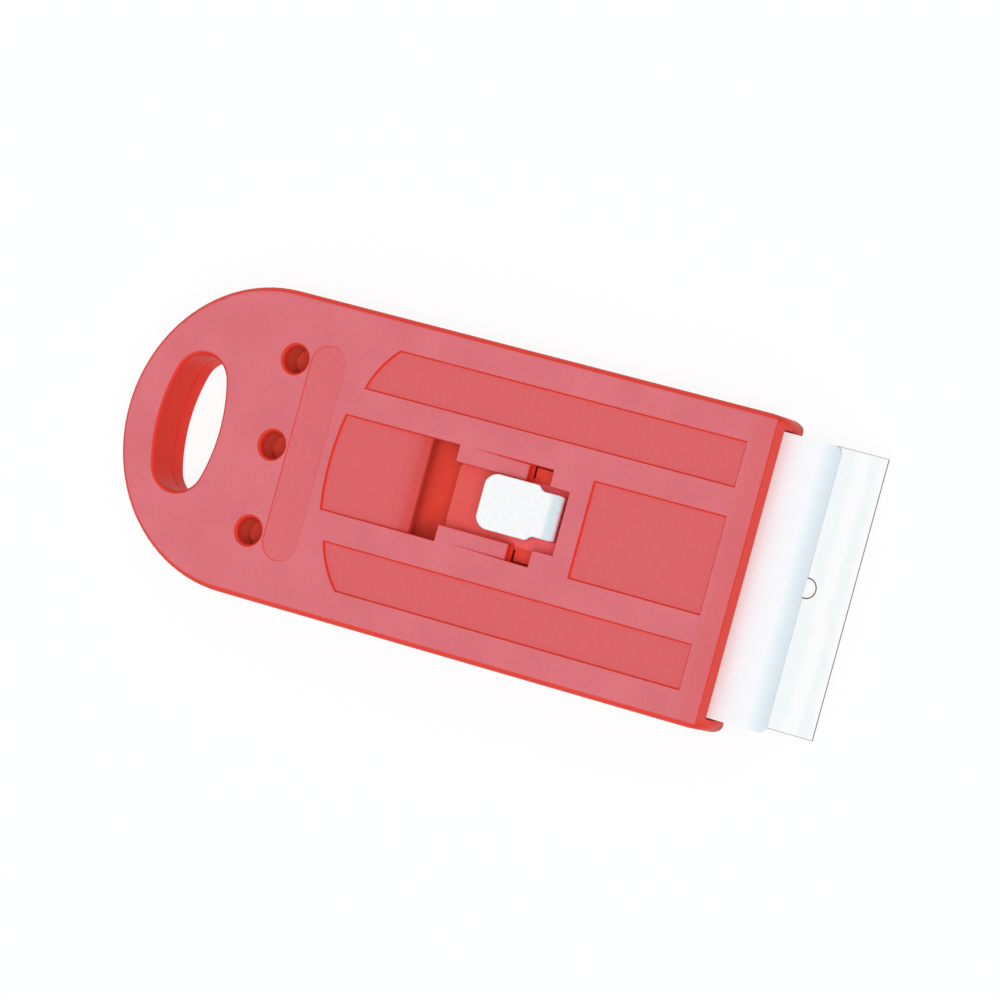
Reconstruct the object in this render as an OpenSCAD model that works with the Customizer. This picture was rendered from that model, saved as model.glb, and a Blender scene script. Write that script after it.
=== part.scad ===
/* [Blade] */
// Length of the single-edge blade, along its cutting edge
blade_l = 38.1; // [30:0.1:60]
// Depth of the blade, from its folded back to its cutting edge
blade_d = 19; // [17:0.1:26]
// Thickness of the blade
blade_t = 0.23; // [0.15:0.01:0.5]
// Width of the ground bevel along the cutting edge
bevel_d = 1.7; // [0.6:0.1:3]
// Diameter of the hole in the middle of the blade
blade_hole_d = 2.5; // [1:0.1:4]
// Distance from the cutting edge to the middle of that hole
blade_hole_back = 6.5; // [5:0.1:8]
// How far the blade lies to one side in its holder
blade_shift = 0.4; // [0:0.1:0.4]
// Thickness of the strip folded over the blade's back
spine_t = 1.04; // [0.8:0.02:1.6]
// Depth of that folded strip
spine_d = 5.8; // [4:0.1:7]

/* [Carriage] */
// Distance that the carriage slides between its two stops
travel = 15.05; // [12:0.05:18]
// How far the cutting edge lies inside the mouth when the blade is in
edge_inset = 0.2; // [0.1:0.05:1]
// Thickness of the moulded bed under the blade
bed_t = 2.5; // [2.4:0.1:4]
// Thickness of the bed's tray under the lock arm
tray_t = 1.2; // [0.8:0.1:1.3]
// Width of the rails along the bed's sides
rail_w = 2.4; // [1.5:0.1:4]
// Length of the raised land that the clamp is riveted to
land_l = 8; // [6:0.1:12]
// Length of the block that the lock arm is hinged on
root_l = 3.95; // [2.5:0.05:6]
// Thickness of the clamp's sheet
clamp_t = 0.8; // [0.6:0.05:1.2]
// How far the clamp's nose stands out of the mouth with the blade out
clamp_out = 8.1; // [6:0.1:9]
// Radius of the clamp's rolled nose, outside
nose_r = 3.75; // [3:0.05:6]
// Corner radius of the clamp's nose, seen from above
nose_corner_r = 1.1; // [0.3:0.1:2]
// Diameter of the clamp's rivets
rivet_d = 2.4; // [1.6:0.1:3]
// Distance between the two rivets
rivet_pitch = 24; // [16:0.5:28]

/* [Lock arm] */
// Distance from the arm's hinge to the middle of its latch wings
arm_latch = 15.4; // [14:0.05:20]
// Length of the arm behind the middle of its wings
arm_tail = 13.2; // [11:0.05:16]
// Width of the arm
arm_w = 10; // [9:0.1:12]
// Thickness of the arm
arm_t = 1; // [0.8:0.05:1.2]
// Width across the latch wings
wing_w = 13; // [12.2:0.1:13]
// Length of the latch wings along the slide
wing_l = 3.7; // [2:0.1:3.8]

/* [Thumb tab] */
// Thickness of the tab's strip
tab_t = 0.8; // [0.6:0.05:1]
// Height of the tab's underside above the body
tab_rise = 0.4; // [0.35:0.05:1]
// Length of the tab behind its front face
tab_l = 11.9; // [9:0.1:13]
// Width of the tab's thumb pad
tab_w = 7.7; // [7:0.1:8]
// Width of the tab's neck
neck_w = 6.3; // [5:0.1:6.8]
// Length of the tab's neck, from its front face to the thumb pad
neck_l = 2.7; // [2.2:0.1:4]
// Corner radius of the thumb pad
tab_corner_r = 2; // [0.5:0.1:2.5]
// Outer radius of the bend where the strip turns down into the slot
bend_r = 2; // [1.1:0.1:2.1]
// How far the tab stands to one side
tab_shift = 0.45; // [0:0.05:0.45]

/* [Body] */
// Thickness of the roof over the blade chamber
roof_t = 2.7; // [2.4:0.1:4]
// Thickness of the floor under the blade chamber
floor_t = 1.8; // [1.2:0.1:3]
// Thickness of the chamber's side walls
side_t = 1.7; // [1.2:0.05:3]
// Length of the handle behind the blade chamber
handle_l = 35.5; // [35.1:0.1:60]
// Height of the lower shell's walls above its floor
lower_wall = 1.4; // [0.8:0.1:2]
// Rounding of the upper and lower edges
edge_r = 1; // [0.3:0.05:1.1]
// Rounding of the mouth's upper and lower edges
mouth_edge_r = 0.35; // [0.2:0.05:1.1]
// Corner radius of the mouth end, seen from above
mouth_corner_r = 1.4; // [0.3:0.1:3]
// Corner radius of the lower lip at the mouth, seen from above
lip_corner_r = 1.6; // [0.3:0.1:4]
// Clearance between the body and the sliding carriage
slide_gap = 0.15; // [0.1:0.01:0.3]

/* [Handle] */
// Size of the hanging hole along the body
hang_l = 9.5; // [8.4:0.1:12]
// Size of the hanging hole across the body
hang_w = 19.3; // [14:0.1:24]
// Radius of the hanging hole's two ends
hang_end_r = 3.9; // [2:0.1:4]
// Distance from the round end to the middle of the hanging hole
hang_back = 10.35; // [9:0.05:12]
// Diameter of the three round holes
pin_hole_d = 3.8; // [3:0.1:4.4]
// Distance from one round hole to the next
pin_pitch = 12.15; // [9:0.05:13]
// Distance from the round end to the row of holes
pin_back = 23.9; // [23:0.1:25]
// Depth of the pin tips below the top face
pin_sink = 3.75; // [2:0.05:4.5]
// Thickness of the hollow handle's upper skin
skin_t = 2; // [1.6:0.1:3]

/* [Slot and panels] */
// Width of the slot that the tab's neck runs in
slot_w = 8.7; // [8.6:0.1:9]
// Width of the latch notches, the rear window and the middle panels
latch_w = 13.3; // [13.1:0.1:16]
// Length of the two latch notches
notch_l = 3.9; // [3.8:0.1:4.5]
// Length of the rear latch window
window_l = 4.8; // [4:0.1:5]
// Distance from the notches to the slot's front end
slot_lead = 3.1; // [2:0.05:3.5]
// Depth of the ramps beside the slot, at the notches
ramp_depth = 0.75; // [0.3:0.05:1.2]
// Length of the ramps beside the slot
ramp_l = 9; // [5:0.1:9.2]
// Depth of the shallow panels
panel_depth = 0.4; // [0.15:0.05:0.6]
// Length of the thumb panel behind the rear window
thumb_panel_l = 13.85; // [12:0.05:16]
// Length of its steeper part at the window
thumb_slope_l = 1.8; // [1:0.1:3]
// Depth of the thumb panel where its steeper part begins
thumb_depth = 1; // [0.95:0.05:1.3]
// Depth of the thumb panel at the window
thumb_window_depth = 1.5; // [1.4:0.05:1.9]
// Width of the side panels
side_panel_w = 6.1; // [4:0.1:6.5]
// Distance from the body's sides to the side panels
side_panel_margin = 4.5; // [3:0.1:4.7]
// Distance from the mouth to the panels
panel_margin = 3.7; // [2:0.1:6]
// Width of the bare label field
label_l = 5.4; // [4:0.1:5.7]
// Size of the bare label field across the body
label_w = 30.2; // [20:0.1:31]
// Depth of the bare label field
label_depth = 0.12; // [0.05:0.01:0.2]

/* [Hidden] */
$fn = 96;

over = 0.5;            // overrun of a cut past the face that it opens
seat_gap = 0.03;       // gap between pieces that rest on each other
hinge_gap = 0.06;      // clearance round the arm's knuckle
end_gap = 0.75;        // space left behind the carriage when it is right back
front_play = 0.13;     // gap between the tab's neck and the slot's front end
spine_room = 0.3;      // gap before and behind the spine in its pocket
edge_t = 0.03;         // thickness of the cutting edge
boss_wall = 1.4;       // wall round each of the three round holes
hole_wall = 1.8;       // wall round the hanging hole
rib_t = 1.6;           // wall between the blade chamber and the hollow handle
pin_gap = 0.05;        // clearance round the pins in their holes
rim_r = 0.35;          // softened rim of the three round holes
rivet_head_r = 1.9;    // radius of the rivets' heads
rivet_head_t = 0.5;    // height of the rivets' heads
rivet_sink = 0.25;     // depth of the lower heads in the bed's underside
arm_rib_w = 1.2;       // width of the two ribs beside the arm
arm_rib_gap = 0.4;     // gap between the latch wings and those ribs
tab_foot = 1.5;        // depth of the tab's leg in the arm
boss_floor = 0.5;      // floor left under the leg in the arm's boss
boss_side = 1;         // wall round the leg in the arm's boss
shoulder_r = 0.9;      // radius of both curves of the tab's shoulders
panel_slot_wall = 3.15; // wall between the front panel and the slot
panel_set = 2.35;      // side panels' rear ends before the thumb panel's end
panel_slant = 3.75;    // slant of the side panels' rear ends
panel_bow = 0.45;      // bow of those slanted ends
thumb_arc_rise = 0.6;  // rise of the thumb panel's curved rear end
label_gap = 1.4;       // space between the label field and the thumb panel
bed_nose_r = 1.2;      // rounding of the bed's nose
bed_nose_set = 1.9;    // how far the bed's nose lies behind the clamp's
tail_r = 1.5;          // corner radius of the arm's tail
curve_steps = 8;       // straight steps in each curve of an outline
hang_steps = 24;       // straight steps in each of the hanging hole's four arcs

// Heights above the underside
bed_z = floor_t + slide_gap;
bed_top = bed_z + bed_t;
blade_z = bed_top + seat_gap + blade_t / 2;
blade_top = blade_z + blade_t / 2;
clamp_z = blade_z + spine_t / 2 + seat_gap;
clamp_top = clamp_z + clamp_t;
roof_z = clamp_top + slide_gap;
body_t = roof_z + roof_t;
split_z = floor_t + lower_wall;
arm_z = clamp_top - arm_t;
hinge_z = arm_z + arm_t / 2;
tab_z = body_t + tab_rise;
pin_top = body_t - pin_sink;

// Widths across the body
clamp_w = blade_l + 2 * blade_shift;
bed_w = clamp_w + 2 * seat_gap;
chamber_w = bed_w + 2 * slide_gap;
body_w = chamber_w + 2 * side_t;

// Distances behind the mouth
blade_out = travel - edge_inset;
blade_back = blade_d - blade_out;
land_front = blade_back + spine_room;
land_back = land_front + land_l;
hinge_back = land_back + root_l;
latch_back = hinge_back + arm_latch;
tail_back = latch_back + arm_tail;
slot_front = latch_back - notch_l / 2 - slot_lead;
window_mid = latch_back + travel;
window_back = window_mid + window_l / 2;
thumb_back = window_back + thumb_panel_l;
tab_front = slot_front + front_play;
chamber_l = tail_back + travel + end_gap;
body_l = chamber_l + handle_l;

// Places along X, with zero in the middle of the whole length
x_rear = -(body_l + blade_out) / 2;
x_mouth = x_rear + body_l;
x_edge = x_mouth + blade_out;
x_round = x_rear + body_w / 2;
x_hinge = behind(hinge_back);
x_spine = behind(blade_back);
x_nose = x_mouth + clamp_out;
x_tab = behind(tab_front);

spine_wall = (spine_t - blade_t) / 2 - seat_gap;
nose_drop = clamp_top - blade_top - seat_gap;
nose_reach = sqrt(pow(nose_r, 2) - pow(nose_r - nose_drop, 2));
boss_r = pin_hole_d / 2 + boss_wall;
z_bend = tab_z + tab_t - bend_r;

function behind(distance) = x_mouth - distance;

// Points of an arc from one point to another that bows out by the given rise on its left
function bowed(from, to, rise) =
    let (chord = norm(to - from), r = (pow(chord / 2, 2) + pow(rise, 2)) / (2 * rise),
         along = (to - from) / chord, left = [-along[1], along[0]],
         centre = (from + to) / 2 - left * (r - rise), half = asin(chord / 2 / r))
    [for (i = [0 : curve_steps])
        let (a = -half + 2 * half * i / curve_steps)
        centre + r * (sin(a) * along + cos(a) * left)];

// Points of an arc about a centre, from one angle to another
function arc(centre, r, from, to) =
    [for (i = [0 : curve_steps])
        let (a = from + (to - from) * i / curve_steps)
        centre + r * [cos(a), sin(a)]];

// Rectangle about its middle with round corners
module rounded_rect(l, w, r) {
    square([l - 2 * r, w], center = true);
    square([l, w - 2 * r], center = true);
    for (sx = [-1, 1], sy = [-1, 1])
        translate([sx * (l / 2 - r), sy * (w / 2 - r)]) circle(r);
}

// Block between two places along X and two heights, as wide as given about the middle
module block(x0, x1, w, z0, z1) {
    translate([x0, -w / 2, z0]) cube([x1 - x0, w, z1 - z0]);
}

// Side view (X and Z) carried across the body
module across(w) {
    rotate([90, 0, 0]) linear_extrude(w, center = true) children();
}

// Oval of four arcs for the hanging hole, about its own middle and larger all round by grow
function hang_points(grow) =
    let (half_l = hang_l / 2, end_y = hang_w / 2 - hang_end_r,
         side_r = (pow(half_l, 2) + pow(end_y, 2) - pow(hang_end_r, 2)) / (2 * (half_l - hang_end_r)),
         turn = atan(end_y / (side_r - half_l)),
         centres = [[half_l - side_r, 0], [0, end_y], [side_r - half_l, 0], [0, -end_y]],
         radii = [side_r, hang_end_r, side_r, hang_end_r],
         starts = [-turn, turn, 180 - turn, 180 + turn],
         spans = [2 * turn, 180 - 2 * turn, 2 * turn, 180 - 2 * turn])
    [for (q = [0 : 3], i = [0 : hang_steps - 1])
        let (a = starts[q] + spans[q] * i / hang_steps)
        centres[q] + (radii[q] + grow) * [cos(a), sin(a)]];

module hang_outline(grow) {
    translate([x_rear + hang_back, 0]) polygon(hang_points(grow));
}

module at_pins() {
    for (i = [-1 : 1]) translate([x_rear + pin_back, i * pin_pitch, 0]) children();
}

// Whole outside of the body, before it is parted and hollowed, with the given corner radius at
// the mouth
module body_solid(corner_r) {
    long = body_l + body_w;
    intersection() {
        union() {
            translate([x_round, 0, 0]) rotate([90, 0, 90]) linear_extrude(x_mouth - x_round)
                translate([0, body_t / 2]) rounded_rect(body_w, body_t, edge_r);
            translate([x_round, 0, 0]) rotate_extrude() intersection() {
                translate([0, body_t / 2]) rounded_rect(body_w, body_t, edge_r);
                square([body_w, body_t]);
            }
        }
        across(body_w + 2 * over)
            translate([x_mouth - long / 2, body_t / 2]) rounded_rect(long, body_t, mouth_edge_r);
        linear_extrude(body_t)
            translate([x_mouth - long / 2, 0]) rounded_rect(long, body_w, corner_r);
    }
}

// Space that the carriage slides in
module chamber() {
    block(behind(chamber_l), x_mouth + over, chamber_w, floor_t, roof_z);
}

// Hollow of the handle: the outline less the walls, the hole's wall and the three bosses
module handle_hollow() {
    x_wall = behind(chamber_l + rib_t);
    translate([0, 0, floor_t]) linear_extrude(body_t - skin_t - floor_t) difference() {
        union() {
            translate([x_round, 0]) circle(body_w / 2 - side_t);
            translate([x_round, side_t - body_w / 2]) square([x_wall - x_round, body_w - 2 * side_t]);
        }
        translate([x_wall, -body_w]) square(2 * body_w);
        hang_outline(hole_wall);
        at_pins() circle(boss_r);
    }
}

module hang_hole() {
    translate([0, 0, -over]) linear_extrude(body_t + 2 * over) hang_outline(0);
}

// Slot, latch notches and rear window, cut through the roof
module slot_cuts() {
    z0 = roof_z - over;
    z1 = body_t + over;
    block(behind(window_mid), behind(slot_front), slot_w, z0, z1);
    for (mid = [latch_back, window_mid]) {
        half = (mid == latch_back ? notch_l : window_l) / 2;
        block(behind(mid + half), behind(mid - half), latch_w, z0, z1);
    }
}

// Ramps that fall towards the notches beside the slot
module ramps() {
    x1 = behind(latch_back + notch_l / 2);
    across(latch_w) polygon([[x1 - ramp_l, body_t], [x1, body_t - ramp_depth],
        [x1, body_t + over], [x1 - ramp_l, body_t + over]]);
}

// Thumb panel: falls gently, then steeply, to the rear window; its rear end is an arc
module thumb_panel() {
    x0 = behind(thumb_back);
    x1 = behind(window_back);
    arc_r = (pow(latch_w / 2, 2) + pow(thumb_arc_rise, 2)) / (2 * thumb_arc_rise);
    intersection() {
        across(latch_w) polygon([[x0, body_t - panel_depth],
            [x1 - thumb_slope_l, body_t - thumb_depth], [x1, body_t - thumb_window_depth],
            [x1 + over, body_t - thumb_window_depth], [x1 + over, body_t + over], [x0, body_t + over]]);
        translate([x0 + arc_r, 0, roof_z]) cylinder(h = roof_t + over, r = arc_r);
    }
}

module side_panel_outline() {
    y0 = body_w / 2 - side_panel_margin - side_panel_w;
    y1 = y0 + side_panel_w;
    x0 = behind(thumb_back) + panel_set;
    x1 = behind(panel_margin);
    polygon(concat(bowed([x0, y0], [x0 + panel_slant, y1], panel_bow), [[x1, y1], [x1, y0]]));
}

// Shallow side panels, cut down from the given height
module side_panels(z) {
    for (s = [0, 1]) mirror([0, s, 0]) translate([0, 0, z])
        linear_extrude(panel_depth + over) side_panel_outline();
}

// Front panel and bare label field in the top
module top_panels() {
    block(behind(slot_front - panel_slot_wall), behind(panel_margin), latch_w,
        body_t - panel_depth, body_t + over);
    translate([behind(thumb_back) - label_gap - label_l / 2, 0, body_t - label_depth])
        linear_extrude(label_depth + over) rounded_rect(label_l, label_w, label_l / 2 - seat_gap);
}

module upper_shell() {
    color("#d94f4b") difference() {
        intersection() {
            body_solid(mouth_corner_r);
            block(x_rear, x_mouth, body_w, split_z, body_t);
        }
        chamber();
        handle_hollow();
        hang_hole();
        slot_cuts();
        ramps();
        thumb_panel();
        top_panels();
        side_panels(body_t - panel_depth);
        at_pins() {
            translate([0, 0, floor_t]) cylinder(h = body_t - floor_t + over, d = pin_hole_d);
            translate([0, 0, body_t - rim_r])
                cylinder(h = 2 * rim_r, d1 = pin_hole_d, d2 = pin_hole_d + 4 * rim_r);
        }
    }
}

module lower_shell() {
    color("#d94f4b") {
        difference() {
            intersection() {
                body_solid(lip_corner_r);
                block(x_rear, x_mouth, body_w, 0, split_z);
            }
            chamber();
            handle_hollow();
            hang_hole();
            side_panels(-over);
        }
        at_pins() translate([0, 0, floor_t])
            cylinder(h = pin_top - floor_t, d = pin_hole_d - 2 * pin_gap);
    }
}

module at_rivets() {
    for (s = [-1, 1])
        translate([behind((land_front + land_back) / 2), s * rivet_pitch / 2, 0]) children();
}

// One rivet with a flat lower head and a sunk upper head; as a cut it is larger by grow
// and runs past both faces
module rivet(grow) {
    past = grow > 0 ? over : 0;
    r0 = rivet_d / 2 + grow;
    r1 = rivet_head_r + grow;
    z0 = bed_z + rivet_sink;
    z_neck = z0 + rivet_head_t + grow;
    rotate_extrude() polygon([[0, z0 - past], [r1, z0 - past], [r1, z_neck], [r0, z_neck],
        [r0, clamp_top - rivet_head_t], [r1, clamp_top], [r1, clamp_top + past],
        [0, clamp_top + past]]);
}

module carriage_bed() {
    x_tail = behind(tail_back);
    x_land = behind(land_back);
    x_front = x_nose - bed_nose_set;
    rib_y = wing_w / 2 + arm_rib_gap + arm_rib_w / 2;
    color("#c9403c") difference() {
        union() {
            across(bed_w) {
                translate([x_land, bed_z]) square([x_front - bed_nose_r - x_land, bed_t]);
                translate([x_land, bed_z + bed_nose_r]) square([x_front - x_land, bed_t - bed_nose_r]);
                translate([x_front - bed_nose_r, bed_z + bed_nose_r]) circle(bed_nose_r);
            }
            block(x_land, behind(land_front), bed_w, bed_z, clamp_z);
            block(x_hinge, x_land, bed_w, bed_z, clamp_top);
            block(x_tail, x_hinge, bed_w, bed_z, bed_z + tray_t);
            for (s = [-1, 1]) {
                translate([0, s * (bed_w - rail_w) / 2, 0])
                    block(x_tail, x_hinge, rail_w, bed_z, clamp_top);
                translate([0, s * rib_y, 0]) block(x_tail, x_hinge, arm_rib_w, bed_z, arm_z);
            }
        }
        block(x_spine - spine_room, x_spine + spine_d + spine_room, bed_w + 2 * over,
            blade_z - spine_t / 2 - seat_gap, bed_top + over);
        translate([x_hinge, 0, hinge_z]) rotate([90, 0, 0])
            cylinder(h = arm_w + 2 * hinge_gap, r = arm_t / 2 + hinge_gap, center = true);
        at_rivets() rivet(seat_gap);
    }
}

// Side view of the clamp: a flat sheet with its front rolled down to the blade
module clamp_side() {
    x_bend = x_nose - nose_reach;
    translate([behind(land_back) + seat_gap, clamp_z])
        square([x_bend - behind(land_back) - seat_gap, clamp_t]);
    intersection() {
        difference() {
            translate([x_bend, clamp_top - nose_r]) circle(nose_r);
            translate([x_bend, clamp_top - nose_r]) circle(nose_r - clamp_t);
        }
        translate([x_bend, blade_top + seat_gap]) square([nose_r, nose_drop]);
    }
}

module blade_clamp() {
    color("#e8eef3") difference() {
        intersection() {
            across(clamp_w) clamp_side();
            linear_extrude(clamp_top + over)
                translate([x_nose - body_l / 2, 0]) rounded_rect(body_l, clamp_w, nose_corner_r);
        }
        at_rivets() rivet(seat_gap);
    }
}

module clamp_rivets() {
    color("#cfd3d6") at_rivets() rivet(0);
}

module razor_blade() {
    x0 = x_spine + spine_wall + seat_gap;
    color("#dfe6ea") translate([0, blade_shift, blade_z]) difference() {
        across(blade_l) polygon([[x0, -blade_t / 2], [x_edge - bevel_d, -blade_t / 2],
            [x_edge, -edge_t / 2], [x_edge, edge_t / 2], [x_edge - bevel_d, blade_t / 2],
            [x0, blade_t / 2]]);
        translate([x_edge - blade_hole_back, 0, -blade_t])
            cylinder(h = 2 * blade_t, d = blade_hole_d);
    }
}

module blade_spine() {
    x0 = x_spine + spine_wall;
    color("#b9c0c5") translate([0, blade_shift, blade_z]) across(blade_l) difference() {
        union() {
            translate([x_spine + spine_t / 2, 0]) circle(d = spine_t);
            translate([x_spine + spine_t / 2, -spine_t / 2]) square([spine_d - spine_t / 2, spine_t]);
        }
        translate([x0, -blade_t / 2 - seat_gap]) square([spine_d, blade_t + 2 * seat_gap]);
    }
}

// Foot of the tab's leg, larger all round by grow
module tab_leg(grow) {
    translate([0, tab_shift, 0])
        block(x_tab - tab_t - grow, x_tab + grow, neck_w + 2 * grow,
            clamp_top - tab_foot - grow, z_bend);
}

module lock_arm() {
    x_tail = behind(tail_back);
    x_mid = (x_tail + x_hinge) / 2;
    color("#cf4642") difference() {
        union() {
            translate([0, 0, arm_z]) linear_extrude(arm_t) {
                translate([x_mid, 0]) rounded_rect(x_hinge - x_tail, arm_w, tail_r);
                translate([x_mid, -arm_w / 2]) square([x_hinge - x_mid, arm_w]);
                translate([behind(latch_back), 0]) square([wing_l, wing_w], center = true);
            }
            translate([x_hinge, 0, hinge_z]) rotate([90, 0, 0])
                cylinder(h = arm_w, r = arm_t / 2, center = true);
            block(x_tab - tab_t - boss_side, x_tab + boss_side, arm_w,
                clamp_top - tab_foot - boss_floor, clamp_top - arm_t / 2);
        }
        tab_leg(seat_gap);
    }
}

// Outline of the tab seen from above, from its bend back to its round corners
module tab_outline() {
    x_bend = x_tab - bend_r;
    x_pad = x_tab - neck_l;
    x0 = x_tab - tab_l;
    step = (tab_w - neck_w) / 2;
    turn = acos(1 - step / 2 / shoulder_r);
    reach = 2 * shoulder_r * sin(turn);
    half = concat([[x_bend, neck_w / 2]],
        arc([x_pad, neck_w / 2 + shoulder_r], shoulder_r, 270, 270 - turn),
        arc([x_pad - reach, tab_w / 2 - shoulder_r], shoulder_r, 90 - turn, 90),
        arc([x0 + tab_corner_r, tab_w / 2 - tab_corner_r], tab_corner_r, 90, 180));
    polygon(concat(half, [for (i = [len(half) - 1 : -1 : 0]) [half[i][0], -half[i][1]]]));
}

module thumb_tab() {
    color("#f4f6f7") {
        translate([0, tab_shift, tab_z]) linear_extrude(tab_t) tab_outline();
        translate([0, tab_shift, 0]) across(neck_w) translate([x_tab - bend_r, z_bend])
            intersection() {
                difference() {
                    circle(bend_r);
                    circle(bend_r - tab_t);
                }
                square(bend_r);
            }
        tab_leg(0);
    }
}

upper_shell();
lower_shell();
carriage_bed();
blade_clamp();
clamp_rivets();
razor_blade();
blade_spine();
lock_arm();
thumb_tab();
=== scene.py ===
"""Looks of the razor blade scraper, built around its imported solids.

Every size is in metres, in the frame of the solids: +X towards the cutting edge, +Z out of the
face that carries the thumb tab, and zero height on the underside. MM turns millimetres into metres.
"""

import math

import bmesh
import bpy
import numpy as np
from mathutils import Matrix, Vector


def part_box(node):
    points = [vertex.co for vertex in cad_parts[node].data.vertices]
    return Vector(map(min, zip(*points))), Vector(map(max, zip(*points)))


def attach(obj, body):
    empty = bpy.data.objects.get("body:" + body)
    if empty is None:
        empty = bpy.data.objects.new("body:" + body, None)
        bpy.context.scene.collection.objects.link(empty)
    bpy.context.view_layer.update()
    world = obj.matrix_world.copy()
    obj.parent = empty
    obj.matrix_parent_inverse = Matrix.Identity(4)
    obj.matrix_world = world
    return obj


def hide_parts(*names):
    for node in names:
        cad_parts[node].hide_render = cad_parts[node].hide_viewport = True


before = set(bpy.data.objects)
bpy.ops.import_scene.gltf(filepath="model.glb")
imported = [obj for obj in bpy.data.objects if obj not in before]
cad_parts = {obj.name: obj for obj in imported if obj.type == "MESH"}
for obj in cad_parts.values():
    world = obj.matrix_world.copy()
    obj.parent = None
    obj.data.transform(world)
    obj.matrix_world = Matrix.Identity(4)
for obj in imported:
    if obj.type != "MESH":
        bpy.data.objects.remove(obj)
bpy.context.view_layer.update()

MM = 0.001

# Places that the solids give
shell_low, shell_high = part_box("upper_shell")
blade_low, blade_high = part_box("razor_blade")
spine_low, spine_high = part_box("blade_spine")
tab_low, tab_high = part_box("thumb_tab")

X_REAR, X_MOUTH = shell_low.x, shell_high.x
BODY_TOP = shell_high.z
CUTTING_EDGE = blade_high.x
CLAMP_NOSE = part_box("blade_clamp")[1].x

# Places along the moulded body, behind the mouth
CHAMBER_FRONT = X_MOUTH - 0.3 * MM
SLOT_FRONT = X_MOUTH - 26.75 * MM
WINDOW_REAR = X_MOUTH - 49.25 * MM
PIN_HOLES = X_MOUTH - 72.4 * MM
CHAMBER_REAR = X_MOUTH - 75 * MM

# Half widths across it, heights in it, and the reach of its pin holes and thumb slope along it
LATCH_HALF_W = 6.65 * MM
PINS_HALF_W = 14.6 * MM
CHAMBER_HALF_W = 19.75 * MM
FLOOR_TOP = 1.75 * MM
ROOF_UNDER = 6.15 * MM
PANEL_DEPTH = 0.4 * MM
PIN_HOLE_REACH = 2.2 * MM
THUMB_SLOPE = 1.8 * MM

# Hanging hole behind the pin holes, with a larger rounding of its two rims
HANG_MIDDLE = X_REAR + 10.35 * MM
HANG_REACH = 5.2 * MM
HANG_HALF_W = 10 * MM
HANG_TOP_RIM = 0.7 * MM
HANG_UNDER_RIM = 0.5 * MM

# Rounding of moulded edges, the angle of a sharp one, and how solids are cleaned before it
MOULD_EDGE = 0.18 * MM
INNER_EDGE = 0.12 * MM
SHARP_EDGE = math.radians(30)
RIM_EDGE = math.radians(57)
FLAT_EDGE = 0.02
CORNER_REACH = 1.6 * MM
MERGE_REACH = 0.001 * MM
HEIGHT_MATCH = 0.01 * MM

# Sizes of the thumb tab's strip
TAB_T = 0.8 * MM
TAB_BEND_R = 2 * MM
TAB_NECK_W = 6.3 * MM
TAB_NECK_L = 2.7 * MM
TAB_SHOULDER_R = 0.9 * MM
TAB_CORNER_R = 2 * MM
TAB_EDGE = 0.24 * MM

# Sizes of the strip folded over the blade's back
SPINE_STRIP_T = 0.375 * MM
SPINE_EDGE = 0.08 * MM

# Points along one arc of a strip
ARC_POINTS = 25
CORNER_POINTS = 6

# Sizes on the blade, the bands as distances behind the cutting edge
HONED_W = 0.16 * MM
GROUND_BAND = (0.9 * MM, 2.4 * MM)
COATED_BAND = (4.6 * MM, 7 * MM)
BAND_WANDER = 0.8 * MM
BLADE_HOLE_R = 1.25 * MM
BLADE_HOLE_BACK = 6.5 * MM
CUT_FACE_W = 0.13 * MM
HOLE_RIM_W = 0.24 * MM

# Where a tone of the moulded body sets in and where it is full, most of them painted sheen, light
# and shade: as depths below the top face, a height above the underside, and distances behind the
# mouth and behind the latch window
PANEL_TONE = (0.02 * MM, 0.55 * PANEL_DEPTH)
SLOPE_TONE = (0.8 * MM, 1.3 * MM)
HANG_WALL_TONE = (0.3 * MM, 1.2 * MM)
HOLLOW_TONE = (1.2 * MM, 2 * MM)
FRONT_TONE = (4.5 * MM, 1.5 * MM)
BEHIND_WINDOW_TONE = (4 * MM, 3 * MM)

# The same for the arm's painted light, ahead of the thumb pad's rear and beside the middle of the
# arm, and for the painted reflection behind the clamp's nose
ARM_FRONT_TONE = (2 * MM, 5 * MM)
WING_TONE = (4.3 * MM, 4.7 * MM)
NOSE_REFLECTION_TONE = (3 * MM, 0.5 * MM)

# Half widths of the soft borders between tones
SOFT = 0.05 * MM
SOFTER = 0.1 * MM

# Camera of the photograph: leaning towards the blade, and rolled
CAMERA_LEAN = math.radians(27)
CAMERA_ROLL = math.radians(15.3)
CAMERA_AIM = Vector((X_MOUTH - 36.4 * MM, 0.95 * MM, BODY_TOP))
CAMERA_DISTANCE = 756 * MM
CAMERA_SENSOR = 36
CAMERA_LENS = 203.55

# Lamp, sky and floor
LAMP_STRENGTH = 1.5
LAMP_SPREAD = math.radians(30)
LAMP_ASIDE = math.radians(8)
SKY_FILL = 0.69
SKY_LEAN = math.radians(40)
SKY_RISE = (0.58, 0.90)
FLOOR_REACH = 3.0
FLOOR_DROP = 0.05 * MM
FLOOR_SEEN_WHITE = 0.9


def srgb(red, green, blue):
    """Colour as seen on a screen, 0 to 255, as the linear colour that a shader takes."""
    seen = np.array((red, green, blue)) / 255
    linear = np.where(seen <= 0.04045, seen / 12.92, ((seen + 0.055) / 1.055) ** 2.4)
    return (*linear, 1.0)


def grey(value):
    return (value, value, value, 1.0)
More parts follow.
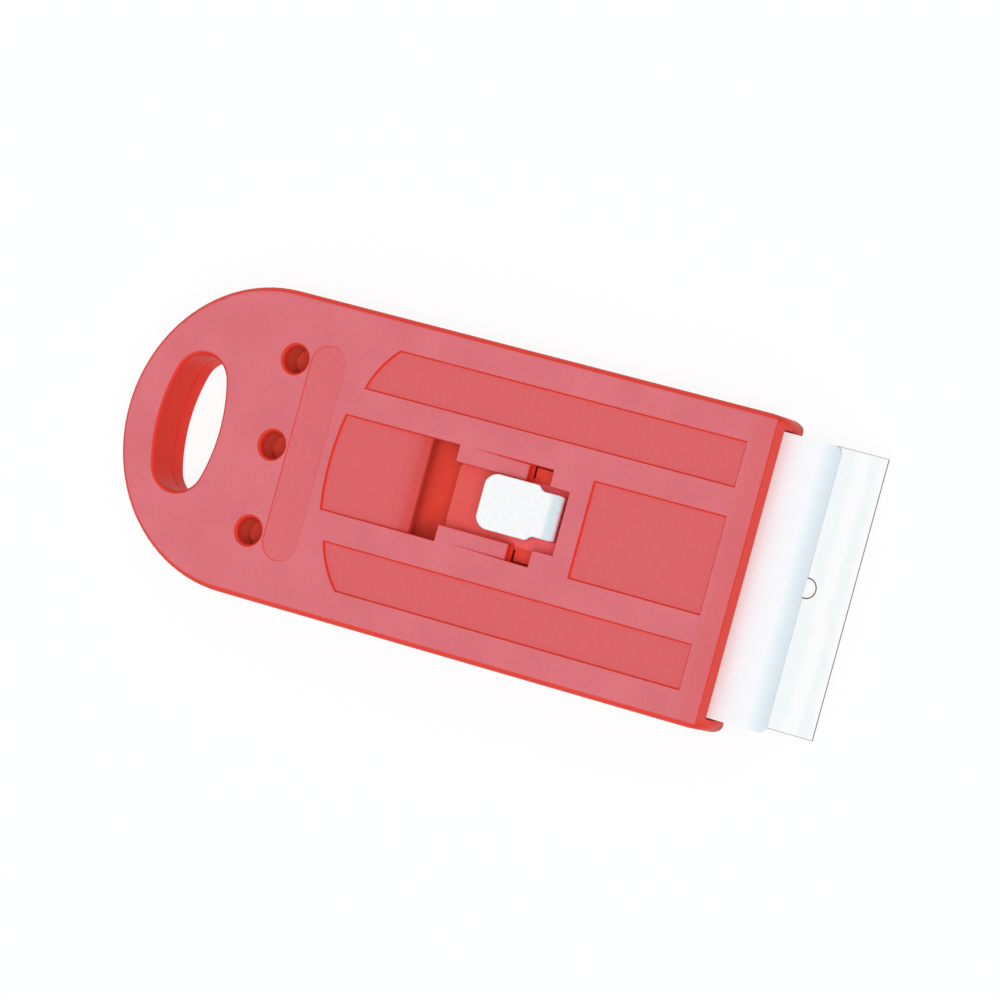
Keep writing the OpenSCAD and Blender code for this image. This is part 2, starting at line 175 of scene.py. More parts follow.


# Reds of the moulded pieces; most of them carry painted sheen, light and shade
# Painted sheen: the pale red of faces that lie flat, with its slow mottle
SHEEN_FACE_RED = srgb(225, 117, 124)
SHEEN_FACE_RED_DEEP = srgb(220, 112, 119)
# Stronger red of the shallow panels, partly a smoother texture and partly painted less sheen
PANEL_RED = srgb(222, 100, 102)
SPECK_RED = srgb(190, 84, 92)
# Painted shade on the low end of the thumb slope
SLOPE_SHADE_RED = srgb(212, 68, 59)
# The plastic's own red, where edges and walls turn away from the painted sheen
EDGE_RED = srgb(228, 62, 48)
# Painted shade: a deeper red on the hanging hole's wall
HANG_WALL_SHADE_RED = srgb(234, 50, 24)
# Painted light: a brighter red in the hollows inside and on the carriage's bed
HOLLOW_LIT_RED = srgb(255, 86, 69)
# Painted shade in the pin holes: a duller red on their walls, darker on the pins' tops
PIN_HOLE_SHADE_RED = srgb(220, 92, 74)
PIN_TOP_SHADE_RED = srgb(208, 74, 57)
ARM_RED = srgb(229, 93, 88)
# Painted light on the arm's front half and its latch wings
ARM_FRONT_LIT_RED = srgb(250, 112, 118)
WING_LIT_RED = srgb(236, 82, 65)

# Tones of the metal pieces and of the sky
PLATED_LIGHT = srgb(254, 254, 254)
PLATED_DEEP = srgb(250, 252, 253)
# Painted reflection and shade: bluish grey on the clamp's rolled nose
PLATED_NOSE_REFLECTION = srgb(226, 231, 234)
TAB_LIGHT = srgb(254, 254, 254)
TAB_DEEP = srgb(248, 249, 249)
BLADE_LIGHT = srgb(254, 254, 254)
BLADE_BAND = srgb(243, 248, 250)
CUT_STEEL = srgb(108, 88, 78)
SPINE_LIGHT = srgb(222, 226, 229)
SPINE_DEEP = srgb(200, 205, 209)
RIVET_LIGHT = srgb(214, 216, 219)
RIVET_DEEP = srgb(190, 192, 196)
SKY_COOL = srgb(220, 231, 239)
WHITE = grey(1.0)
FLOOR_PALE = grey(0.98)


# Meshes

def new_piece(name, points, faces):
    """A mesh object at the origin with smooth faces, from whole arrays of points and faces."""
    mesh = bpy.data.meshes.new(name)
    mesh.from_pydata(points.tolist(), [], faces)
    mesh.validate()
    mesh.shade_smooth()
    piece = bpy.data.objects.new(name, mesh)
    bpy.context.scene.collection.objects.link(piece)
    return piece


def ring_faces(rings, around):
    """Quads between rings of points, each ring closed on itself, and one face on each end."""
    row, step = np.meshgrid(np.arange(rings - 1), np.arange(around), indexing="ij")
    here = row * around + step
    beside = row * around + (step + 1) % around
    quads = np.stack([here, beside, beside + around, here + around], -1).reshape(-1, 4)
    first = list(range(around - 1, -1, -1))
    last = list(range((rings - 1) * around, rings * around))
    return quads.tolist() + [first, last]


def turned_out(piece):
    """Turns every face of a closed piece outwards."""
    work = bmesh.new()
    work.from_mesh(piece.data)
    bmesh.ops.recalc_face_normals(work, faces=work.faces)
    work.to_mesh(piece.data)
    work.free()
    return piece


def bent_strip(name, line, side, half_width, half_thick, edge, shift):
    """A flat strip with round edges, bent along a line in its side view.

    line and side are arrays of (x, z): the strip's middle line and the unit vectors square to it.
    At each point of the line the section is a rectangle, half_width across the body and
    half_thick along side, whose four corners are quarter circles of radius edge:
    point = line + side * n + (0, shift + w), with w and n running once round that rectangle.
    """
    corner = np.linspace(0, math.pi / 2, CORNER_POINTS)
    turn = np.concatenate([corner + k * math.pi / 2 for k in range(4)])
    quarter = np.repeat(np.arange(4), CORNER_POINTS)
    across = np.where((quarter == 0) | (quarter == 3), 1.0, -1.0)
    above = np.where(quarter < 2, 1.0, -1.0)
    r = np.minimum(edge, half_thick)[:, None]
    w = across * (half_width[:, None] - r) + r * np.cos(turn)
    n = above * (half_thick[:, None] - r) + r * np.sin(turn)
    points = np.empty((len(line), len(turn), 3))
    points[..., 0] = line[:, :1] + side[:, :1] * n
    points[..., 1] = shift + w
    points[..., 2] = line[:, 1:] + side[:, 1:] * n
    return turned_out(new_piece(name, points.reshape(-1, 3), ring_faces(len(line), len(turn))))


def arc_rise(distance, radius):
    """Rise of a circle above its tangent, at this distance from where they touch."""
    along = np.clip(distance, 0, radius)
    return radius - np.sqrt(radius**2 - along**2)


def thumb_tab_strip():
    """The tab is a stamped strip: its leg rises through the slot, turns back on a quarter circle
    and runs flat to the round thumb pad. Its half width is the neck's, then the pad's, with two
    equal arcs between, turned against each other, and less the rounding of the rear corners."""
    middle_r = TAB_BEND_R - TAB_T / 2
    x_front = tab_high.x
    centre = np.array((x_front - TAB_BEND_R, tab_high.z - TAB_BEND_R))
    leg_z = np.linspace(tab_low.z, centre[1], 12)[:-1]
    leg = np.stack([np.full_like(leg_z, x_front - TAB_T / 2), leg_z], -1)
    leg_side = np.tile((1.0, 0.0), (len(leg), 1))
    turn = np.linspace(0, math.pi / 2, ARC_POINTS)
    bend_side = np.stack([np.cos(turn), np.sin(turn)], -1)
    bend = centre + middle_r * bend_side
    flat_l = centre[0] - tab_low.x
    ease = np.sin(np.linspace(0, math.pi / 2, 30))
    run = np.concatenate([np.linspace(0, flat_l - TAB_CORNER_R, 40)[1:-1],
                          flat_l - TAB_CORNER_R * (1 - ease)])
    flat = np.stack([centre[0] - run, np.full_like(run, tab_high.z - TAB_T / 2)], -1)
    flat_side = np.tile((0.0, 1.0), (len(flat), 1))

    behind_front = np.concatenate([np.zeros(len(leg)), x_front - bend[:, 0], x_front - flat[:, 0]])
    from_end = (x_front - tab_low.x) - behind_front
    step = (tab_high.y - tab_low.y - TAB_NECK_W) / 2
    reach = math.sqrt(step * (4 * TAB_SHOULDER_R - step))
    passed = behind_front - TAB_NECK_L
    shoulder = np.where(passed < reach / 2, arc_rise(passed, TAB_SHOULDER_R),
                        step - arc_rise(reach - passed, TAB_SHOULDER_R))
    rear_corner = arc_rise(TAB_CORNER_R - from_end, TAB_CORNER_R)
    half_width = TAB_NECK_W / 2 + shoulder - rear_corner
    half_thick = TAB_T / 2 - arc_rise(TAB_EDGE - from_end, TAB_EDGE)
    return bent_strip("thumb_tab_strip", np.concatenate([leg, bend, flat]),
                      np.concatenate([leg_side, bend_side, flat_side]), half_width, half_thick,
                      TAB_EDGE, (tab_high.y + tab_low.y) / 2)


def folded_spine():
    """The spine is one strip folded flat over the blade's back: a leg below the blade, a half
    circle round its back edge and a leg above it."""
    middle_r = (spine_high.z - spine_low.z - SPINE_STRIP_T) / 2
    centre = np.array((spine_low.x + middle_r + SPINE_STRIP_T / 2, (spine_low.z + spine_high.z) / 2))
    run = np.linspace(spine_high.x, centre[0], 14)[:-1]
    turn = np.linspace(-math.pi / 2, -3 * math.pi / 2, ARC_POINTS)
    fold_side = np.stack([np.cos(turn), np.sin(turn)], -1)
    legs = [np.stack([x, np.full_like(x, centre[1] + up * middle_r)], -1)
            for x, up in ((run, -1), (run[::-1], 1))]
    sides = [np.tile((0.0, up), (len(run), 1)) for up in (-1.0, 1.0)]
    line = np.concatenate([legs[0], centre + middle_r * fold_side, legs[1]])
    side = np.concatenate([sides[0], fold_side, sides[1]])
    half_width = np.full(len(line), (spine_high.y - spine_low.y) / 2)
    half_thick = np.full(len(line), SPINE_STRIP_T / 2)
    return bent_strip("folded_spine", line, side, half_width, half_thick, SPINE_EDGE,
                      (spine_high.y + spine_low.y) / 2)


def round_rim(work, height, width):
    """Rounds the hanging hole's rim at one height with quarter circles of the given radius."""
    def on_rim(vertex):
        near = abs(vertex.co.x - HANG_MIDDLE) < HANG_REACH and abs(vertex.co.y) < HANG_HALF_W
        return near and abs(vertex.co.z - height) < HEIGHT_MATCH
    rim = [e for e in work.edges if all(on_rim(v) for v in e.verts)
           and len(e.link_faces) == 2 and e.calc_face_angle(0) > RIM_EDGE]
    bmesh.ops.bevel(work, geom=rim, offset=width, segments=6, profile=0.5, affect="EDGES",
                    clamp_overlap=True)


def at_mouth_corner(place):
    """Whether a place lies where the mouth's rounding meets that of the sides."""
    aside = place.x > X_MOUTH - CORNER_REACH and abs(place.y) > shell_high.y - CORNER_REACH
    return aside and not CORNER_REACH < place.z < BODY_TOP - CORNER_REACH


def rounding_share(edge, width):
    """Share of the full rounding that an edge takes: none at the angle of a faceted curve, all
    of it from twice that angle, and under half the length of each edge that turns away."""
    turned = edge.calc_face_angle(0)
    if turned < SHARP_EDGE or at_mouth_corner(edge.verts[0].co):
        return 0.0
    along = (edge.verts[1].co - edge.verts[0].co).normalized()
    room = width
    for vertex in edge.verts:
        for other in vertex.link_edges:
            reach = other.other_vert(vertex).co - vertex.co
            if abs(reach.normalized().dot(along)) < 0.9:
                room = min(room, 0.45 * reach.length)
    return room / width * min(turned / SHARP_EDGE - 1, 1.0)


def softened(node, name, edge, rim=None):
    """A copy of a solid with its points merged, its flat faces made whole and its sharp edges
    rounded, for a moulding. Sheet that is sheared keeps its edges, with an edge of zero."""
    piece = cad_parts[node].copy()
    piece.data = piece.data.copy()
    piece.data.materials.clear()
    piece.name = piece.data.name = name
    piece.parent = None
    bpy.context.scene.collection.objects.link(piece)
    work = bmesh.new()
    work.from_mesh(piece.data)
    bmesh.ops.remove_doubles(work, verts=work.verts, dist=MERGE_REACH)
    bmesh.ops.dissolve_limit(work, angle_limit=FLAT_EDGE, verts=work.verts, edges=work.edges)
    if rim:
        round_rim(work, *rim)
    weight = work.edges.layers.float.new("bevel_weight_edge")
    for line in work.edges:
        line[weight] = rounding_share(line, edge) if edge else 0.0
    work.to_mesh(piece.data)
    work.free()
    piece.data.shade_smooth()
    if edge:
        bevel = piece.modifiers.new("soft edges", "BEVEL")
        bevel.width = edge
        bevel.segments = 3
        bevel.limit_method = "WEIGHT"
        bevel.miter_outer = "MITER_SHARP"
        bevel.use_clamp_overlap = False
    else:
        piece.data.set_sharp_from_angle(angle=SHARP_EDGE)
    level = piece.modifiers.new("level faces", "WEIGHTED_NORMAL")
    level.weight = 100
    level.keep_sharp = not edge
    parted = piece.modifiers.new("triangles", "TRIANGULATE")
    parted.keep_custom_normals = True
    return piece


# Node trees

class Nodes:
    """Short calls that add and wire nodes in one tree. A value is a number, a tuple or a socket."""

    def __init__(self, tree):
        self.tree = tree

    def set(self, socket, value):
        if isinstance(value, bpy.types.NodeSocket):
            self.tree.links.new(value, socket)
        else:
            socket.default_value = value

    def add(self, kind, values=None, **settings):
        node = self.tree.nodes.new(kind)
        for key, value in settings.items():
            setattr(node, key, value)
        for key, value in (values or {}).items():
            self.set(node.inputs[key], value)
        return node

    def math(self, operation, a, b=0.0):
        return self.add("ShaderNodeMath", {0: a, 1: b}, operation=operation).outputs[0]

    def times(self, first, *others):
        """Product of shares, which is 1 only where all of them are."""
        for other in others:
            first = self.math("MULTIPLY", first, other)
        return first

    def step(self, value, low, high):
        """0 below low, 1 above high, and a smooth step between."""
        return self.add("ShaderNodeMapRange", {"Value": value, "From Min": low, "From Max": high},
                        interpolation_type="SMOOTHSTEP", clamp=True).outputs["Result"]

    def between(self, value, low, high, soft):
        """1 where the value lies between low and high, with soft ends."""
        return self.times(self.step(value, low - soft, low + soft),
                          self.step(value, high + soft, high - soft))

    def within(self, value, middle, reach, soft):
        """1 where the value lies within a reach of the middle, with soft ends."""
        return self.between(value, middle - reach, middle + reach, soft)

    def scaled(self, value, low, high):
        """A share from 0 to 1 carried to the range from low to high."""
        return self.add("ShaderNodeMapRange", {"Value": value, "To Min": low, "To Max": high},
                        clamp=True).outputs["Result"]

    def mix(self, share, a, b):
        """Colour a, or colour b where the share is 1."""
        node = self.add("ShaderNodeMix", {"Factor": share}, data_type="RGBA")
        self.set(node.inputs[6], a)
        self.set(node.inputs[7], b)
        return node.outputs[2]

    def object_place(self):
        return self.add("ShaderNodeTexCoord").outputs["Object"]

    def split(self, vector):
        return self.add("ShaderNodeSeparateXYZ", {0: vector}).outputs

    def noise(self, scale, detail=2.0, vector=None, roughness=0.5):
        vector = vector or self.object_place()
        return self.add("ShaderNodeTexNoise", {"Vector": vector, "Scale": scale, "Detail": detail,
                                               "Roughness": roughness}).outputs[0]


def shared_group(name, inputs, outputs, build):
    """A shader node group with named inputs (name, value) and named outputs, built once."""
    tree = bpy.data.node_groups.new(name, "ShaderNodeTree")
    for label, value in inputs:
        socket = tree.interface.new_socket(label, in_out="INPUT", socket_type="NodeSocketFloat")
        socket.default_value = value
    for label in outputs:
        tree.interface.new_socket(label, in_out="OUTPUT", socket_type="NodeSocketFloat")
    nodes = Nodes(tree)
    given = nodes.add("NodeGroupInput").outputs
    result = nodes.add("NodeGroupOutput")
    for label, value in build(nodes, given).items():
        nodes.set(result.inputs[label], value)
    return tree


def build_flat_share(nodes, given):
    """1 where a face lies flat, up or down, and 0 where it is turned away round an edge."""
    normal = nodes.add("ShaderNodeTexCoord").outputs["Normal"]
    upright = nodes.math("ABSOLUTE", nodes.split(normal)["Z"])
    return {"Flat": nodes.step(upright, given["Turned"], given["Level"])}


def build_grain(nodes, given):
    """The fine matt grain of a mould, its speckle and the slow mottle of moulded plastic."""
    size = nodes.math("DIVIDE", 1.0, nodes.math("MULTIPLY", given["Size mm"], MM))
    fine = nodes.noise(size, 1.0)
    speckle = nodes.noise(nodes.math("MULTIPLY", size, 0.85), 2.0, roughness=0.7)
    mottle = nodes.noise(nodes.math("MULTIPLY", size, 0.035), 2.0)
    return {"Height": fine, "Speckle": nodes.step(speckle, 0.35, 0.65),
            "Mottle": nodes.step(mottle, 0.35, 0.65)}


def build_brushed(nodes, given):
    """Fine lines that run along X, as rolling or honing leaves them, and a slow cloudiness."""
    per_metre = nodes.math("DIVIDE", 1.0, nodes.math("MULTIPLY", given["Line mm"], MM))
    place = nodes.split(nodes.object_place())
    across = nodes.math("MULTIPLY", place["Y"], per_metre)
    along = nodes.math("MULTIPLY", place["X"], nodes.math("DIVIDE", per_metre, given["Stretch"]))
    spot = nodes.add("ShaderNodeCombineXYZ", {"X": along, "Y": across}).outputs[0]
    lines = nodes.noise(1.0, 3.0, spot, 0.6)
    cloud = nodes.noise(180.0, 2.0)
    return {"Lines": nodes.step(lines, 0.3, 0.7), "Cloud": nodes.step(cloud, 0.3, 0.7)}


FLAT_SHARE = shared_group("flat faces", [("Turned", 0.8), ("Level", 0.99)], ["Flat"],
                          build_flat_share)
GRAIN = shared_group("mould grain", [("Size mm", 0.3)], ["Height", "Speckle", "Mottle"],
                     build_grain)
BRUSHED = shared_group("brushed lines", [("Line mm", 0.1), ("Stretch", 20.0)],
                       ["Lines", "Cloud"], build_brushed)


def placed(nodes, tree, **values):
    """One use of a shared group with its own values."""
    node = nodes.add("ShaderNodeGroup", node_tree=tree)
    for label, value in values.items():
        nodes.set(node.inputs[label.replace("_", " ")], value)
    return node.outputs


def new_material(name):
    """A material, the calls that add its nodes, and its shader."""
    material = bpy.data.materials.new(name)
    material.use_nodes = True
    return material, Nodes(material.node_tree), material.node_tree.nodes["Principled BSDF"]


def bump(nodes, shader, height, strength, distance):
    """Raises the surface by a height of 0 to 1 times the distance."""
    raised = nodes.add("ShaderNodeBump", {"Height": height, "Strength": strength,
                                          "Distance": distance})
    nodes.set(shader.inputs["Normal"], raised.outputs["Normal"])


# Zones of the moulded body

def below_top(nodes, place, depths):
    """1 below the top face, from the first of two depths to the second."""
    return nodes.step(place["Z"], BODY_TOP - depths[0], BODY_TOP - depths[1])


def sunk_share(nodes, place):
    """1 on the floor of the shallow panels, above and below, and not on the ramps and the floor
    beside the slot: where the panels' stronger red goes, partly painted less sheen."""
    off_faces = nodes.times(nodes.step(place["Z"], *PANEL_TONE), below_top(nodes, place, PANEL_TONE))
    beside_slot = nodes.times(nodes.between(place["X"], WINDOW_REAR, SLOT_FRONT, SOFTER),
                              nodes.within(place["Y"], 0.0, LATCH_HALF_W, SOFT))
    return nodes.times(off_faces, nodes.math("SUBTRACT", 1.0, beside_slot))


def slope_share(nodes, place):
    """1 on the low end of the thumb panel, where it slopes into the latch window and a painted shade
    goes.
    """
    behind, behind_full = BEHIND_WINDOW_TONE
    return nodes.times(below_top(nodes, place, SLOPE_TONE),
                       nodes.within(place["Y"], 0.0, LATCH_HALF_W, SOFT),
                       nodes.step(place["X"], WINDOW_REAR + THUMB_SLOPE, WINDOW_REAR),
                       nodes.step(place["X"], WINDOW_REAR - behind, WINDOW_REAR - behind_full))


def hang_wall_share(nodes, place):
    """1 on the wall of the hanging hole, below its upper rim, where a painted shade goes."""
    return nodes.times(nodes.within(place["X"], HANG_MIDDLE, HANG_REACH, SOFTER),
                       nodes.within(place["Y"], 0.0, HANG_HALF_W, SOFTER),
                       below_top(nodes, place, HANG_WALL_TONE))


def hollow_shares(nodes, place):
    """1 inside the chamber, the slot with its notches and window, and the pin holes, where painted
    light brightens the hollows; and 1 in the pin holes alone, where painted shade darkens them."""
    chamber = nodes.times(nodes.within(place["Y"], 0.0, CHAMBER_HALF_W, SOFT),
                          nodes.between(place["Z"], FLOOR_TOP, ROOF_UNDER, SOFT),
                          nodes.between(place["X"], CHAMBER_REAR, CHAMBER_FRONT, SOFTER))
    slot = nodes.times(nodes.between(place["X"], WINDOW_REAR + SOFT, SLOT_FRONT + 2 * SOFTER, SOFT),
                       nodes.within(place["Y"], 0.0, LATCH_HALF_W, SOFT))
    holes = nodes.times(nodes.within(place["X"], PIN_HOLES, PIN_HOLE_REACH, SOFTER),
                        nodes.within(place["Y"], 0.0, PINS_HALF_W, SOFTER))
    deep = below_top(nodes, place, HOLLOW_TONE)
    openings = nodes.times(deep, nodes.math("MAXIMUM", slot, holes))
    return nodes.math("MAXIMUM", chamber, openings), nodes.times(holes, deep)


# Finishes

def moulded_red(name, grain_mm, face, deep=None, panel=None, inner=None):
    """Red plastic with a matt grain: a painted pale sheen on the flat faces, a stronger red in the
    shallow panels, partly painted less sheen, and the plastic's own red where edges and walls turn
    away; painted shade on the thumb slope, the hanging hole's wall and in the pin holes, and painted
    light, a bright red, in the hollow inside. A tone that isn't given is the face's."""
    deep, panel, inner = deep or face, panel or face, inner or face
    material, nodes, shader = new_material(name)
    place = nodes.split(nodes.object_place())
    flat = placed(nodes, FLAT_SHARE, Turned=0.86, Level=0.995)["Flat"]
    grain = placed(nodes, GRAIN, Size_mm=grain_mm)
    slope = slope_share(nodes, place)
    hollow, in_hole = hollow_shares(nodes, place)

    # The panels' stronger red, partly painted less sheen, also takes half the face towards the mouth
    front = nodes.step(place["X"], X_MOUTH - FRONT_TONE[0], X_MOUTH - FRONT_TONE[1])
    plain = nodes.mix(nodes.scaled(front, 0.0, 0.5), nodes.mix(grain["Mottle"], face, deep), panel)
    toned = nodes.mix(sunk_share(nodes, place), plain, panel)
    # Painted shade on the thumb slope's low end, where it turns away into the latch window
    toned = nodes.mix(nodes.scaled(slope, 0.0, 0.7), toned, SLOPE_SHADE_RED)
    speckled = nodes.mix(nodes.scaled(grain["Speckle"], 0.0, 0.16), toned, SPECK_RED)
    # Faces that turn away take the plastic's own red, with painted shade on the thumb slope
    steep = nodes.mix(slope, EDGE_RED, SLOPE_SHADE_RED)
    # Painted shade on the hanging hole's wall
    steep = nodes.mix(hang_wall_share(nodes, place), steep, HANG_WALL_SHADE_RED)
    # Painted light in the hollow inside; painted shade in the pin holes, darker on the pins' tops
    inside = nodes.mix(in_hole, inner, nodes.mix(flat, PIN_HOLE_SHADE_RED, PIN_TOP_SHADE_RED))
    # Painted sheen: the pale red only on faces that lie flat
    outside = nodes.mix(flat, steep, speckled)
    nodes.set(shader.inputs["Base Color"], nodes.mix(hollow, outside, inside))
    rough = nodes.math("ADD", nodes.scaled(flat, 0.42, 0.62),
                       nodes.scaled(grain["Speckle"], -0.03, 0.03))
    nodes.set(shader.inputs["Roughness"], rough)
    shader.inputs["Specular IOR Level"].default_value = 0.15
    bump(nodes, shader, nodes.times(grain["Height"], flat), 0.25, 0.02 * MM)
    return material


def springy_red():
    """The lock arm's red, with painted light: paler on its front half and a brighter, stronger red
    on its latch wings.
    """
    material = moulded_red("arm_red", 0.35, ARM_RED)
    nodes = Nodes(material.node_tree)
    colour = material.node_tree.nodes["Principled BSDF"].inputs["Base Color"]
    place = nodes.split(nodes.object_place())
    front = nodes.step(place["X"], tab_low.x + ARM_FRONT_TONE[0], tab_low.x + ARM_FRONT_TONE[1])
    wings = nodes.step(nodes.math("ABSOLUTE", place["Y"]), *WING_TONE)
    plain = nodes.mix(front, colour.links[0].from_socket, ARM_FRONT_LIT_RED)
    nodes.set(colour, nodes.mix(wings, plain, WING_LIT_RED))
    return material


def plated_sheet():
    """Bright plated sheet of the clamp: nearly white, with faint rolling lines, and a painted bluish
    reflection and shade where it is rolled down to the blade."""
    material, nodes, shader = new_material("plated_sheet")
    lines = placed(nodes, BRUSHED, Line_mm=0.09, Stretch=60.0)
    tone = nodes.mix(lines["Lines"], PLATED_LIGHT, PLATED_DEEP)
    along = nodes.split(nodes.object_place())["X"]
    # Painted reflection and shade: bluish grey towards the nose, where the sheet is rolled down
    rolled = nodes.step(along, CLAMP_NOSE - NOSE_REFLECTION_TONE[0], CLAMP_NOSE - NOSE_REFLECTION_TONE[1])
    nodes.set(shader.inputs["Base Color"], nodes.mix(rolled, tone, PLATED_NOSE_REFLECTION))
    rough = nodes.math("ADD", nodes.scaled(lines["Cloud"], 0.44, 0.52),
                       nodes.scaled(lines["Lines"], -0.02, 0.02))
    nodes.set(shader.inputs["Roughness"], rough)
    shader.inputs["Metallic"].default_value = 0.2
    bump(nodes, shader, lines["Lines"], 0.05, 0.01 * MM)
    return material


def tab_strip():
    """Bright steel strip of the thumb tab, satin from tumbling."""
    material, nodes, shader = new_material("tab_strip")
    grain = placed(nodes, GRAIN, Size_mm=0.5)
    nodes.set(shader.inputs["Base Color"], nodes.mix(grain["Speckle"], TAB_LIGHT, TAB_DEEP))
    nodes.set(shader.inputs["Roughness"], nodes.scaled(grain["Speckle"], 0.32, 0.40))
    shader.inputs["Metallic"].default_value = 1.0
    bump(nodes, shader, grain["Height"], 0.08, 0.02 * MM)
    return material


def blade_steel():
    """Blade steel: faint lines from grinding, two pale bands along the edge, a darker honed lip,
    and dark cut faces at the ends and round the hole."""
    material, nodes, shader = new_material("blade_steel")
    place = nodes.split(nodes.object_place())
    lines = placed(nodes, BRUSHED, Line_mm=0.06, Stretch=40.0)
    back = nodes.math("SUBTRACT", CUTTING_EDGE, place["X"])
    wander = nodes.math("MULTIPLY", nodes.math("SUBTRACT", lines["Cloud"], 0.5), BAND_WANDER)
    ragged = nodes.math("ADD", back, wander)
    bands = nodes.math("MAXIMUM", nodes.between(ragged, *GROUND_BAND, 0.5 * MM),
                       nodes.between(ragged, *COATED_BAND, 0.7 * MM))
    tone = nodes.mix(nodes.times(bands, nodes.scaled(lines["Lines"], 0.4, 1.0)),
                     BLADE_LIGHT, BLADE_BAND)

    aside = nodes.math("SUBTRACT", place["Y"], (blade_low.y + blade_high.y) / 2)
    half_l = (blade_high.y - blade_low.y) / 2
    end = nodes.step(nodes.math("ABSOLUTE", aside), half_l - CUT_FACE_W, half_l - 0.3 * CUT_FACE_W)
    lip = nodes.step(back, HONED_W, 0.4 * HONED_W)
    from_hole = nodes.math("SUBTRACT", back, BLADE_HOLE_BACK)
    squares = nodes.math("ADD", nodes.math("POWER", from_hole, 2.0),
                         nodes.math("POWER", aside, 2.0))
    rim = nodes.step(nodes.math("SQRT", squares), BLADE_HOLE_R + HOLE_RIM_W,
                     BLADE_HOLE_R + 0.5 * HOLE_RIM_W)
    dark = nodes.math("MAXIMUM", nodes.math("MAXIMUM", nodes.scaled(end, 0.0, 0.7), lip), rim)
    nodes.set(shader.inputs["Base Color"], nodes.mix(dark, tone, CUT_STEEL))
    nodes.set(shader.inputs["Roughness"], nodes.scaled(lines["Lines"], 0.24, 0.34))
    shader.inputs["Metallic"].default_value = 1.0
    bump(nodes, shader, lines["Lines"], 0.04, 0.01 * MM)
    return material


def plain_steel(name, light, deep, rough):
    """Uncoated steel of the hidden pieces, with rolling lines and a slow cloud of oil."""
    material, nodes, shader = new_material(name)
    lines = placed(nodes, BRUSHED, Line_mm=0.08, Stretch=25.0)
    nodes.set(shader.inputs["Base Color"], nodes.mix(lines["Cloud"], light, deep))
    nodes.set(shader.inputs["Roughness"], nodes.scaled(lines["Lines"], rough - 0.05, rough + 0.05))
    shader.inputs["Metallic"].default_value = 1.0
    bump(nodes, shader, lines["Lines"], 0.06, 0.01 * MM)
    return material


# Stage

def seen_rays(nodes):
    """1 for what the camera, a gloss or a clear piece sees, and 0 for light on a matt surface."""
    path = nodes.add("ShaderNodeLightPath").outputs
    mirrored = nodes.math("MAXIMUM", path["Is Glossy Ray"], path["Is Transmission Ray"])
    return nodes.math("MAXIMUM", path["Is Camera Ray"], mirrored)


def white_floor():
    """A pale floor a hair below the underside. Plain white is mixed into what is seen of it, so
    that it is white outside the shadow and still keeps part of the object's shadow."""
    reach, height = FLOOR_REACH, -FLOOR_DROP
    corners = np.array([(-reach, -reach, height), (reach, -reach, height), (reach, reach, height),
                        (-reach, reach, height)])
    floor = new_piece("floor", corners, [[0, 1, 2, 3]])
    material, nodes, _ = new_material("floor_white")
    material.node_tree.nodes.clear()
    matt = nodes.add("ShaderNodeBsdfDiffuse", {"Color": FLOOR_PALE}).outputs[0]
    white = nodes.add("ShaderNodeEmission", {"Color": WHITE, "Strength": 1.0}).outputs[0]
    share = nodes.times(seen_rays(nodes), FLOOR_SEEN_WHITE)
    surface = nodes.add("ShaderNodeMixShader", {0: share, 1: matt, 2: white}).outputs[0]
    nodes.add("ShaderNodeOutputMaterial", {"Surface": surface})
    floor.data.materials.append(material)


def soft_sky():
    """An even sky, white where the flat metal mirrors it, behind the handle and high, and cooler
    overhead and ahead of the blade. Gloss sees it at full strength."""
    world = bpy.data.worlds.new("soft sky")
    world.use_nodes = True
    bpy.context.scene.world = world
    nodes = Nodes(world.node_tree)
    background = world.node_tree.nodes["Background"]
    way = nodes.split(nodes.add("ShaderNodeTexCoord").outputs["Generated"])
    towards = nodes.math("SUBTRACT", nodes.math("MULTIPLY", way["Z"], math.cos(SKY_LEAN)),
                         nodes.math("MULTIPLY", way["X"], math.sin(SKY_LEAN)))
    nodes.set(background.inputs["Color"], nodes.mix(nodes.step(towards, *SKY_RISE), SKY_COOL, WHITE))
    nodes.set(background.inputs["Strength"], nodes.scaled(seen_rays(nodes), SKY_FILL, 1.0))


def key_lamp():
    """One broad soft lamp beside the camera, which lights the hollows. Gloss doesn't see it."""
    lamp = bpy.data.lights.new("key", "SUN")
    lamp.energy = LAMP_STRENGTH
    lamp.angle = LAMP_SPREAD
    key = bpy.data.objects.new("key", lamp)
    key.rotation_euler = (LAMP_ASIDE, CAMERA_LEAN, 0)
    key.visible_glossy = False
    bpy.context.scene.collection.objects.link(key)


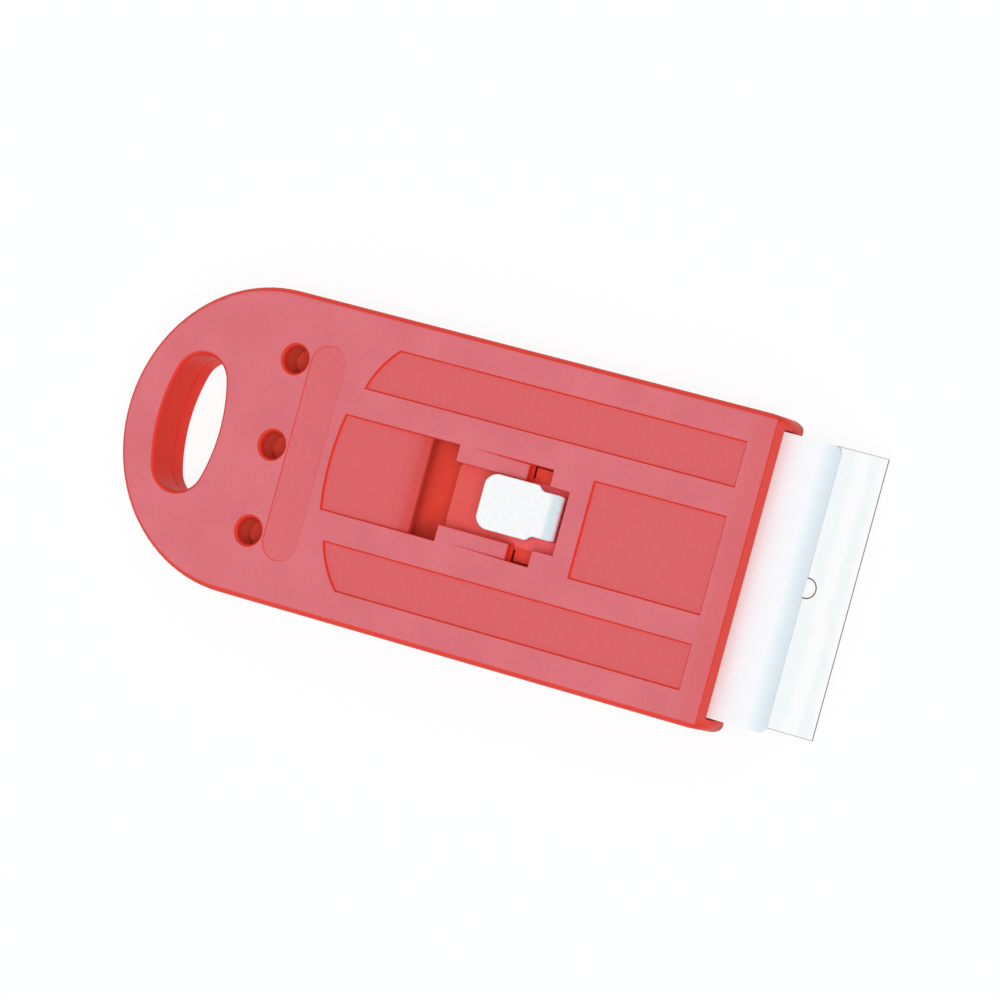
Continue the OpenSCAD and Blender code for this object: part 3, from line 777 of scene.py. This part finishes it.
def photo_camera():
    """The photograph's camera: it leans from straight above towards the blade and is rolled."""
    right = Vector((math.cos(CAMERA_LEAN), 0, -math.sin(CAMERA_LEAN)))
    up = Vector((0, 1, 0))
    back = Vector((math.sin(CAMERA_LEAN), 0, math.cos(CAMERA_LEAN)))
    x_axis = math.cos(CAMERA_ROLL) * right + math.sin(CAMERA_ROLL) * up
    y_axis = math.cos(CAMERA_ROLL) * up - math.sin(CAMERA_ROLL) * right
    place = Matrix((x_axis, y_axis, back)).transposed().to_4x4()
    place.translation = CAMERA_AIM + CAMERA_DISTANCE * back
    lens = bpy.data.cameras.new("camera")
    lens.lens = CAMERA_LENS
    lens.sensor_width = CAMERA_SENSOR
    camera = bpy.data.objects.new("camera", lens)
    camera.matrix_world = place
    bpy.context.scene.collection.objects.link(camera)
    bpy.context.scene.camera = camera


def dress(piece, material, slot, body, *nodes):
    """Gives a new piece its finish and its body, in place of the solids it stands for. The slot is
    not used.
    """
    piece.data.materials.append(material)
    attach(piece, body)
    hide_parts(*nodes)


def refinish(node, material):
    """Gives a solid that is shown as it is its finish."""
    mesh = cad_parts[node].data
    mesh.materials.clear()
    mesh.materials.append(material)


# The object on its stage

body_red = moulded_red("body_red", 0.3, SHEEN_FACE_RED, SHEEN_FACE_RED_DEEP, PANEL_RED, HOLLOW_LIT_RED)
# The carriage's bed takes the painted light red of the hollows all over
carriage_red = moulded_red("carriage_red", 0.4, HOLLOW_LIT_RED)
arm_red = springy_red()
spine_steel = plain_steel("spine_steel", SPINE_LIGHT, SPINE_DEEP, 0.32)
rivet_steel = plain_steel("rivet_steel", RIVET_LIGHT, RIVET_DEEP, 0.35)

body_top = softened("upper_shell", "body_top", MOULD_EDGE, (BODY_TOP, HANG_TOP_RIM))
dress(body_top, body_red, "body_red", "housing", "upper_shell")
body_base = softened("lower_shell", "body_base", MOULD_EDGE, (0.0, HANG_UNDER_RIM))
dress(body_base, body_red, "body_red", "housing", "lower_shell")
sliding_bed = softened("carriage_bed", "sliding_bed", INNER_EDGE)
dress(sliding_bed, carriage_red, "carriage_red", "carriage", "carriage_bed")
spring_arm = softened("lock_arm", "spring_arm", INNER_EDGE)
dress(spring_arm, arm_red, "arm_red", "thumb", "lock_arm")
rolled_clamp = softened("blade_clamp", "rolled_clamp", 0)
dress(rolled_clamp, plated_sheet(), "plated_sheet", "carriage", "blade_clamp")
dress(thumb_tab_strip(), tab_strip(), "tab_strip", "thumb", "thumb_tab")
dress(folded_spine(), spine_steel, "spine_steel", "carriage", "blade_spine")
refinish("razor_blade", blade_steel())
refinish("clamp_rivets", rivet_steel)

white_floor()
soft_sky()
key_lamp()
photo_camera()
bpy.context.scene.view_settings.view_transform = "Standard"
